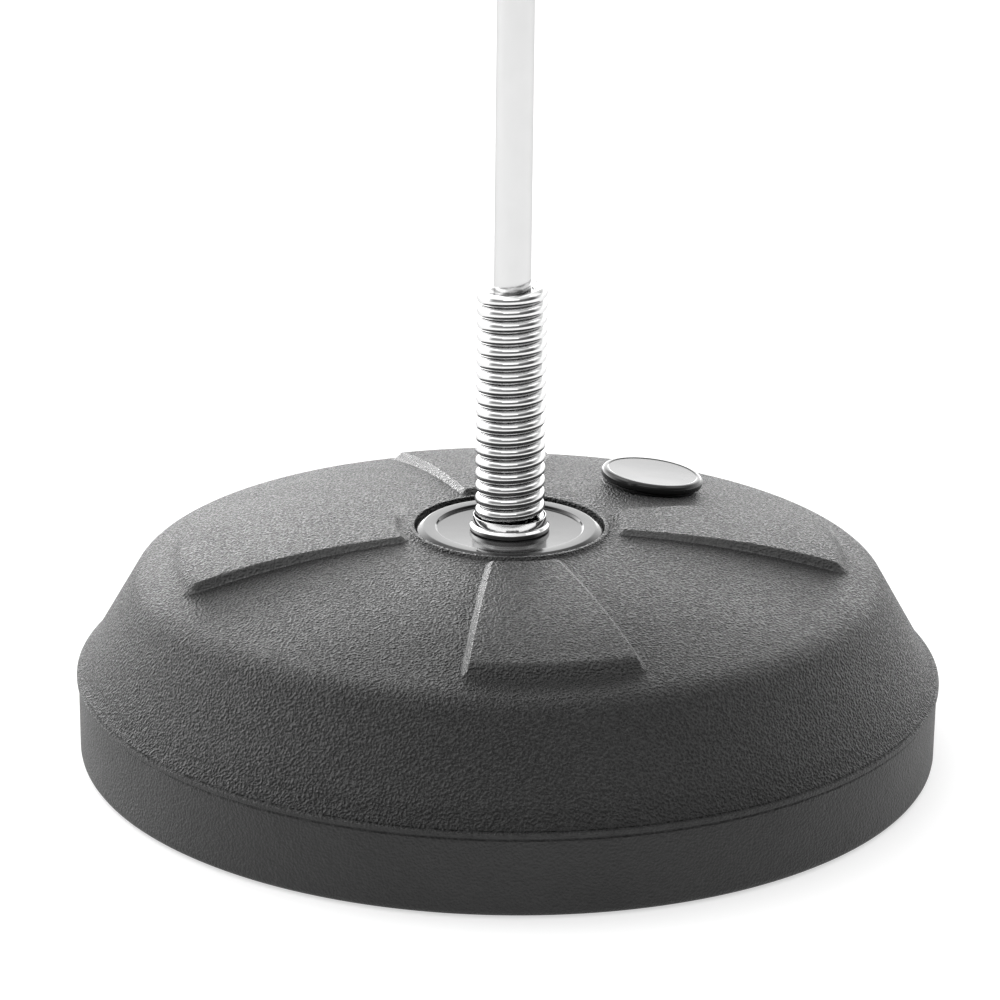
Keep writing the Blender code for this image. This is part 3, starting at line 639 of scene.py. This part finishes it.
def make_tank():
    tank = add_piece("base_shell", tank_mesh(), "tank_plastic", "base", sharp=50)
    boss = [(0, -8 * MM), (BOSS_R, -8 * MM), (BOSS_R, BOSS_TOP, 0.6 * MM), (0, BOSS_TOP)]
    recess_floor = BOSS_TOP - 0.01 * MM
    bore = [(0, -30 * MM), (NECK_R, -30 * MM), (NECK_R, recess_floor, 0.8 * MM)]
    bore += [(RECESS_R, recess_floor), (RECESS_R, 8 * MM), (0, 8 * MM)]
    tools = [("UNION", cutter("join_boss", turned(boss, 128, FILLER_FRAME)))]
    tools += [("DIFFERENCE", cutter("cut_neck", turned(bore, 128, FILLER_FRAME)))]
    apply_tools(tank, tools + pad_tools())
    tank.data.shade_smooth()
    tank.data.set_sharp_from_angle(angle=math.radians(50))
    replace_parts(tank, "base_tank")


def make_centre_cap():
    """A shallow dish with a convex rim, hollow under the rim."""
    under = CAP_SEAT_Z + 0.3 * MM
    hollow = under + 3.6 * MM
    outline = [(CAP_BORE_R, under), (38.0 * MM, under), (39.2 * MM, hollow, 0.8 * MM)]
    outline += [(44.6 * MM, hollow, 0.8 * MM), (45.6 * MM, under), (CAP_R, under, 0.6 * MM)]
    outline += [(CAP_R, CAP_RIM_Z - 1.4 * MM, 1.0 * MM), (44.8 * MM, CAP_RIM_Z, 3.0 * MM)]
    outline += [(38.4 * MM, CAP_RIM_Z, 0.5 * MM), (37.7 * MM, CAP_FLOOR_Z, 0.5 * MM)]
    outline += [(CAP_BORE_R, CAP_FLOOR_Z)]
    cap = add_piece("cap_dish", turned(outline, 160, steps=6), "gloss_plastic", "base")
    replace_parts(cap, "centre_cap")


def make_filler():
    """The gasket, and the screw lid with its plug and the plug's thread."""
    low, high = -0.9 * MM, 0.5 * MM
    seal = [(NECK_R, low, 0.5 * MM), (25.0 * MM, low, 0.5 * MM), (25.0 * MM, high, 0.5 * MM)]
    seal += [(NECK_R, high, 0.5 * MM)]
    ring = add_piece("filler_gasket", turned(seal, 96, FILLER_FRAME), "rubber", "filler_seal")
    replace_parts(ring, "filler_seal")
    sunk = LID_TOP - 0.35 * MM
    ceiling = LID_TOP - 3.4 * MM
    lid_foot = 0.8 * MM
    outline = [(0, ceiling), (PLUG_IN_R, ceiling, 1.2 * MM), (PLUG_IN_R, PLUG_END, 0.5 * MM)]
    outline += [(PLUG_R, PLUG_END, 0.5 * MM), (PLUG_R, lid_foot, 0.6 * MM), (LID_R, lid_foot, 1.6 * MM)]
    outline += [(LID_R, LID_TOP, 2.3 * MM), (24.6 * MM, LID_TOP, 0.5 * MM)]
    outline += [(23.9 * MM, sunk, 0.5 * MM), (0, sunk)]
    cap = add_piece("filler_lid", turned(outline, 160, FILLER_FRAME, steps=6), "gloss_plastic", "filler_cap")
    crest_r = PLUG_R + 0.9 * MM
    thread = helix_ridge(PLUG_R, crest_r, -12.6 * MM, -2.0 * MM, PLUG_THREAD_PITCH, 1.6 * MM)
    thread.transform(FILLER_FRAME)
    add_piece("filler_thread", thread, "gloss_plastic", "filler_cap")
    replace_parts(cap, "filler_cap")


def helix_ridge(root_r, crest_r, low, high, pitch, width, per_turn=72):
    """A thread's ridge: a bar of blunt wedge section that winds up a cylinder and runs out at both ends."""
    inside = root_r - 0.3 * MM
    count = round((high - low) / pitch * per_turn)
    rings = []
    for i in range(count + 1):
        t = i / count
        a = math.tau * (high - low) / pitch * t
        z = low + (high - low) * t
        run_out = smooth_step(min(t, 1 - t) / 0.08)
        crest = root_r + (crest_r - root_r) * max(run_out, 0.05)
        section = [(inside, -width / 2), (crest, -width / 5), (crest, width / 5), (inside, width / 2)]
        rings.append([Vector((r * math.cos(a), r * math.sin(a), z + dz)) for r, dz in section])
    mesh = loft(rings)
    made = list(mesh.verts)
    mesh.faces.new(made[:4])
    mesh.faces.new(made[-4:])
    return mesh


# ---------------------------------------------------------------- spring


def make_spring_seat():
    """The turned plug inside the lowest coils, with the flange and the cup that they stand in."""
    under, cup_floor, cup_top, top = 116.5 * MM, 118.8 * MM, 124.3 * MM, 132.0 * MM
    bore, core, cup_in, flange = 5.3 * MM, 10.9 * MM, 18.45 * MM, 20.65 * MM
    cup_foot = (cup_in + 0.75 * MM, cup_floor + 1.2 * MM, 1.2 * MM)
    outline = [(bore, under), (flange, under, 0.5 * MM), (flange, cup_floor, 0.6 * MM), cup_foot]
    outline += [(cup_in + 0.4 * MM, cup_top, 0.2 * MM), (cup_in, cup_top, 0.1 * MM), (cup_in, cup_floor)]
    outline += [(core, cup_floor), (core, top, 1.0 * MM), (bore, top)]
    seat = add_piece("spring_seat", turned(outline, 128), "spring_chrome", "base")
    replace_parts(seat, "spring_lower_plug")


def coil_mesh(first, last, per_turn=72, sides=20):
    """Part of the spring's wire, from one turn to another."""
    count = max(2, round((last - first) * per_turn))
    rings = []
    for i in range(count + 1):
        turn = first + (last - first) * i / count
        azimuth = math.tau * turn - math.pi / 2
        height = COIL_FRONT_Z + COIL_PITCH * turn
        ring = []
        for side in range(sides):
            a = math.tau * side / sides
            reach = COIL_R + WIRE_R * math.cos(a)
            z = height + WIRE_R * math.sin(a)
            ring.append(Vector((reach * math.cos(azimuth), reach * math.sin(azimuth), z)))
        rings.append(ring)
    mesh = loft(rings)
    made = list(mesh.verts)
    mesh.faces.new(made[:sides])
    mesh.faces.new(made[-sides:])
    return mesh


def make_spring():
    """Two lengths of one wire, split halfway up the free coils."""
    low, high = FREE_COILS_Z
    middle = (low + high) / 2
    split = (middle - COIL_FRONT_Z) / COIL_PITCH
    lower = add_piece("spring_lower_coils", coil_mesh(FIRST_TURN, split), "spring_chrome")
    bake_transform(lower)
    upper = add_piece("spring_upper_coils", coil_mesh(split, LAST_TURN), "spring_chrome")
    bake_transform(upper)
    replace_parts(lower, "spring")


# ---------------------------------------------------------------- mast


CLAMP = JOINTS["clamp_knob_turn"]
CLAMP_FRAME = axis_frame((0, 0, CLAMP["pos_m"][2]), CLAMP["axis"])


def tube_mesh(low, high, outer):
    inner = outer - TUBE_WALL
    edge = 0.35 * MM
    outline = [(outer, low, edge), (outer, high, edge), (inner, high, edge), (inner, low, edge)]
    return turned(outline, 128)


def make_lower_tube():
    mesh = tube_mesh(LOWER_LOW.z, LOWER_HIGH.z, LOWER_TUBE_R)
    made = add_piece("lower_pole", mesh, "mast_chrome", "mast")
    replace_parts(made, "lower_mast")


def make_upper_tube():
    mesh = tube_mesh(UPPER_LOW.z, UPPER_HIGH.z, UPPER_TUBE_R)
    made = add_piece("upper_pole", mesh, "mast_chrome", "upper_mast")
    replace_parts(made, "upper_mast")


def collar_tools():
    """The lug that holds the clamp screw, with the screw's bore, and the set screw's hole opposite."""
    screw_r, insert_r, insert_x = 4.4 * MM, 6.3 * MM, 12 * MM
    bore = [(0, 0), (screw_r, 0), (screw_r, insert_x)]
    bore += [(insert_r, insert_x), (insert_r, 40 * MM), (0, 40 * MM)]
    lug_r, lug_near, lug_far = 10.0 * MM, 11 * MM, 25 * MM
    lug = [(0, lug_near), (lug_r, lug_near), (lug_r, lug_far, 1.6 * MM), (0, lug_far)]
    grub_low, grub_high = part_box("collar_set_screw")
    grub_x = axis_frame((0, 0, (grub_low.z + grub_high.z) / 2), (1, 0, 0))
    grub_r = 2.3 * MM
    hole = [(0, -20 * MM), (grub_r, -20 * MM), (grub_r, -9 * MM), (0, -9 * MM)]
    tools = [("UNION", cutter("join_lug", turned(lug, 96, CLAMP_FRAME, steps=6)))]
    tools += [("DIFFERENCE", cutter("cut_screw", turned(bore, 96, CLAMP_FRAME)))]
    tools += [("DIFFERENCE", cutter("cut_grub", turned(hole, 48, grub_x)))]
    return tools


def make_collar():
    low, high = COLLAR_LOW.z, COLLAR_HIGH.z
    step_z = LOWER_HIGH.z + 0.3 * MM
    outline = [(COLLAR_LOWER_BORE_R, low, 0.4 * MM), (COLLAR_R, low, 1.4 * MM), (COLLAR_R, high, 3.0 * MM)]
    outline += [(COLLAR_UPPER_BORE_R, high, 0.5 * MM), (COLLAR_UPPER_BORE_R, step_z)]
    outline += [(COLLAR_LOWER_BORE_R, step_z)]
    collar = add_piece("collar_shell", turned(outline, 128, steps=6), "black_plastic", "mast")
    apply_tools(collar, collar_tools())
    collar.data.shade_smooth()
    collar.data.set_sharp_from_angle(angle=math.radians(40))
    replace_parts(collar, "height_collar")


def lobed_ring(radius, depth, height, sides=160):
    points = []
    for i in range(sides):
        a = math.tau * i / sides
        reach = radius + depth * (math.cos(KNOB_LOBES * a) - 1) / 2
        points.append(Vector((reach * math.cos(a), reach * math.sin(a), height)))
    return points


def make_knob():
    """A lobed knob. The lobes grow with the radius, from none at its hub."""
    hub_end = KNOB_NEAR - 2 * MM
    bore_end = KNOB_NEAR + 10 * MM
    outline = [(0, bore_end), (KNOB_BORE_R, bore_end), (KNOB_BORE_R, hub_end)]
    outline += [(KNOB_HUB_R, hub_end, 0.6 * MM), (KNOB_HUB_R, KNOB_NEAR + 1.2 * MM, 0.8 * MM)]
    outline += [(KNOB_R, KNOB_NEAR + 2.2 * MM, 2.2 * MM)]
    outline += [(KNOB_R, KNOB_FAR - 1.5 * MM, 3.0 * MM), (12.0 * MM, KNOB_FAR, 2.0 * MM), (0, KNOB_FAR)]
    rings = []
    for radius, height in rounded(outline, False, 7):
        depth = KNOB_LOBE_DEPTH * smooth_step((radius - KNOB_HUB_R - 0.1 * MM) / (8.0 * MM))
        rings.append(lobed_ring(radius, depth, height) if radius > 1e-9 else [Vector((0, 0, height))])
    mesh = loft(rings)
    mesh.transform(CLAMP_FRAME)
    made = add_piece("knob", mesh, "black_plastic", "clamp_knob")
    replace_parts(made, "clamp_knob")


def threaded_rod(radius, low, high, pitch, depth, chamfer, sides=64, per_pitch=8):
    """A round bar with a screw thread along all of it, chamfered at both ends."""
    count = round((high - low) / pitch * per_pitch)
    rings = [[Vector((0, 0, low))]]
    for i in range(count + 1):
        z = low + (high - low) * i / count
        from_end = min(z - low, high - z)
        limit = radius - chamfer + min(from_end, chamfer)
        ring = []
        for side in range(sides):
            a = math.tau * side / sides
            phase = (z / pitch - side / sides) % 1.0
            groove = depth * (0.5 - 0.5 * math.cos(math.tau * phase))
            reach = min(radius - groove, limit)
            ring.append(Vector((reach * math.cos(a), reach * math.sin(a), z)))
        rings.append(ring)
    rings.append([Vector((0, 0, high))])
    return loft(rings)


def make_ball_mount():
    """The stud that the ball screws on, with its washer and the cup under it."""
    stud_low, stud_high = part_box("ball_stud")
    stud = threaded_rod(STUD_R, stud_low.z, stud_high.z, STUD_PITCH, depth=0.75 * MM, chamfer=0.9 * MM)
    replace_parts(add_piece("stud_m10", stud, "zinc", "upper_mast", sharp=60), "ball_stud")
    washer_low, washer_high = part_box("ball_washer")
    bore = 5.2 * MM
    outline = [(bore, washer_low.z, 0.2 * MM), (WASHER_R, washer_low.z, 0.4 * MM)]
    outline += [(WASHER_R, washer_high.z, 0.4 * MM), (bore, washer_high.z, 0.2 * MM)]
    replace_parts(add_piece("stud_washer", turned(outline, 96), "zinc", "upper_mast"), "ball_washer")
    low, high = BALL_SEAT_LOW.z, BALL_SEAT_HIGH.z
    under = UPPER_HIGH.z + 0.3 * MM
    outline = [(bore, low), (BALL_SEAT_SPIGOT_R, low, 0.6 * MM), (BALL_SEAT_SPIGOT_R, under)]
    outline += [(12.0 * MM, under, 0.8 * MM), (BALL_SEAT_R, high - 3.2 * MM, 1.4 * MM)]
    outline += [(BALL_SEAT_R, high, 1.0 * MM), (bore, high, 0.3 * MM)]
    cup = turned(outline, 128, steps=6)
    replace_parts(add_piece("seat_cup", cup, "black_plastic", "upper_mast"), "ball_seat")


def nut_ring(half, cap, height, sides):
    """A hexagon's outline, cut off where it is further out than the cap."""
    points = []
    for i in range(sides):
        a = math.tau * i / sides
        from_flat = (a + math.pi / 6) % (math.pi / 3) - math.pi / 6
        reach = min(half / math.cos(from_flat), cap)
        points.append(Vector((reach * math.cos(a), reach * math.sin(a), height)))
    return points


def nut_mesh(across_flats, bore, low, high, sides=96):
    """A hexagon nut, turned down at its corners on both faces."""
    half = across_flats / 2
    spare = half / math.cos(math.pi / 6) - half
    drop = 1.2 * MM
    edge = 0.5 * MM
    shares = [i / 5 for i in range(6)]
    rings = [nut_ring(half, half + spare * t, low + drop * t, sides) for t in shares]
    rings += [nut_ring(half, half + spare * (1 - t), high - drop + drop * t, sides) for t in shares]
    rings += [round_ring(bore + edge, high, sides), round_ring(bore, high - edge, sides)]
    rings += [round_ring(bore, low + edge, sides), round_ring(bore + edge, low, sides)]
    return loft(rings, closed=True)


def make_nut():
    low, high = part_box("ball_lock_nut")
    mesh = nut_mesh(NUT_ACROSS_FLATS, 5.0 * MM, low.z, high.z)
    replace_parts(add_piece("stud_nut", mesh, "zinc", "upper_mast", sharp=28), "ball_lock_nut")


def make_clamp_screw():
    low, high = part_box("clamp_screw")
    screw = threaded_rod(SCREW_R, low.x, high.x, SCREW_PITCH, depth=0.6 * MM, chamfer=0.6 * MM)
    screw.transform(CLAMP_FRAME)
    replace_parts(add_piece("screw_m8", screw, "zinc", "clamp_knob", sharp=60), "clamp_screw")


# ---------------------------------------------------------------- CAD pieces that stay


def dress_cad_pieces():
    """CAD nodes whose shape is right keep it, and take the fine material of their slot."""
    slots = {entry["node"]: entry["material_slot"] for entry in frame["record"]["subparts"]}
    for name, piece in frame["nodes"].items():
        piece.data.materials.clear()
        piece.data.materials.append(MATERIALS[slots[name]])
        piece.data.shade_smooth()
        piece.data.set_sharp_from_angle(angle=math.radians(32))


# ---------------------------------------------------------------- studio


def floor_material():
    made, tree, shader = start_material("floor_paint")
    here = place_of(tree)
    link(tree, tinted(tree, noise(tree, here, 3.0), grey(0.50), grey(0.52)), shader.inputs["Base Color"])
    shader.inputs["Roughness"].default_value = 0.85
    shader.inputs["Specular IOR Level"].default_value = 0.2
    shader.inputs["Emission Color"].default_value = (1, 1, 1, 1)
    shader.inputs["Emission Strength"].default_value = 0.58
    return made


def make_floor():
    mesh = loft([[Vector((0, 0, 0))], round_ring(FLOOR_R, 0.0, 96)])
    data = bpy.data.meshes.new("floor")
    mesh.to_mesh(data)
    mesh.free()
    data.materials.append(floor_material())
    floor = bpy.data.objects.new("floor", data)
    bpy.context.scene.collection.objects.link(floor)


def make_world():
    """A room with a bright low band behind the stand and a white ceiling.

    It is brighter at the left, and its wall is dark on the camera's side.
    """
    world = bpy.data.worlds.new("studio")
    bpy.context.scene.world = world
    world.use_nodes = True
    tree = world.node_tree
    back = tree.nodes["Background"]
    coordinate = node(tree, "ShaderNodeTexCoord")
    split = node(tree, "ShaderNodeSeparateXYZ")
    link(tree, coordinate.outputs["Generated"], split.inputs[0])
    behind = ranged(tree, split.outputs["Y"], -0.4, 0.6, 0.0, 1.0, smooth=True)
    overhead = ranged(tree, split.outputs["Z"], 0.45, 0.85, 0.0, 1.0, smooth=True)
    left = ranged(tree, split.outputs["X"], -0.9, 0.9, 1.75, 0.5)
    wall = ranged(tree, behind, 0.0, 1.0, 0.07, 1.0)
    rise = ranged(tree, split.outputs["Z"], 0.12, 0.34, 3.7, 2.7, smooth=True)
    fall = ranged(tree, split.outputs["Z"], 0.33, 0.66, 1.0, 0.17, smooth=True)
    open_wall = maths(tree, "MULTIPLY", wall, maths(tree, "MULTIPLY", rise, fall))
    total = maths(tree, "MULTIPLY", maths(tree, "ADD", open_wall, overhead), left)
    path = node(tree, "ShaderNodeLightPath")
    seen = maths(tree, "MAXIMUM", total, maths(tree, "MULTIPLY", path.outputs["Is Camera Ray"], 1.2))
    link(tree, seen, back.inputs["Strength"])
    back.inputs["Color"].default_value = (1, 1, 1, 1)


def add_light(name, place, size, power):
    """A rectangular lamp that points at the base."""
    light = bpy.data.lights.new(name, "AREA")
    light.shape = "RECTANGLE"
    light.size, light.size_y = size
    light.energy = power
    lamp = bpy.data.objects.new(name, light)
    lamp.location = place
    lamp.rotation_euler = (Vector(LAMPS_AIM) - Vector(place)).to_track_quat("-Z", "Y").to_euler()
    bpy.context.scene.collection.objects.link(lamp)


def make_camera():
    camera = bpy.data.cameras.new("camera")
    camera.lens = LENS_MM
    camera.sensor_width = SENSOR_MM
    camera.clip_end = 40.0
    holder = bpy.data.objects.new("camera", camera)
    holder.location = CAMERA_AT
    pitch = Matrix.Rotation(math.pi / 2 - CAMERA_DOWN, 4, "X")
    roll = Matrix.Rotation(CAMERA_ROLL, 4, "Z")
    holder.rotation_euler = (pitch @ roll).to_euler()
    bpy.context.scene.collection.objects.link(holder)
    bpy.context.scene.camera = holder


make_camera()
dress_cad_pieces()
make_tank()
make_centre_cap()
make_filler()
make_spring_seat()
make_spring()
make_lower_tube()
make_upper_tube()
make_collar()
make_knob()
make_clamp_screw()
make_ball_mount()
make_nut()
make_floor()
make_world()
add_light("key", (-1.6, 0.9, 2.2), (2.0, 2.0), 18.0)
add_light("fill", (1.5, 0.3, 1.8), (1.2, 1.2), 4.0)
add_light("strip", (-0.3, -2.0, 2.2), (2.4, 0.45), 7.0)
add_light("low_left", (-0.85, 2.95, 0.42), (1.0, 0.5), 6.0)
add_light("low_right", (0.85, 2.95, 0.42), (0.8, 0.5), 3.0)
bpy.context.scene.view_settings.view_transform = "Standard"
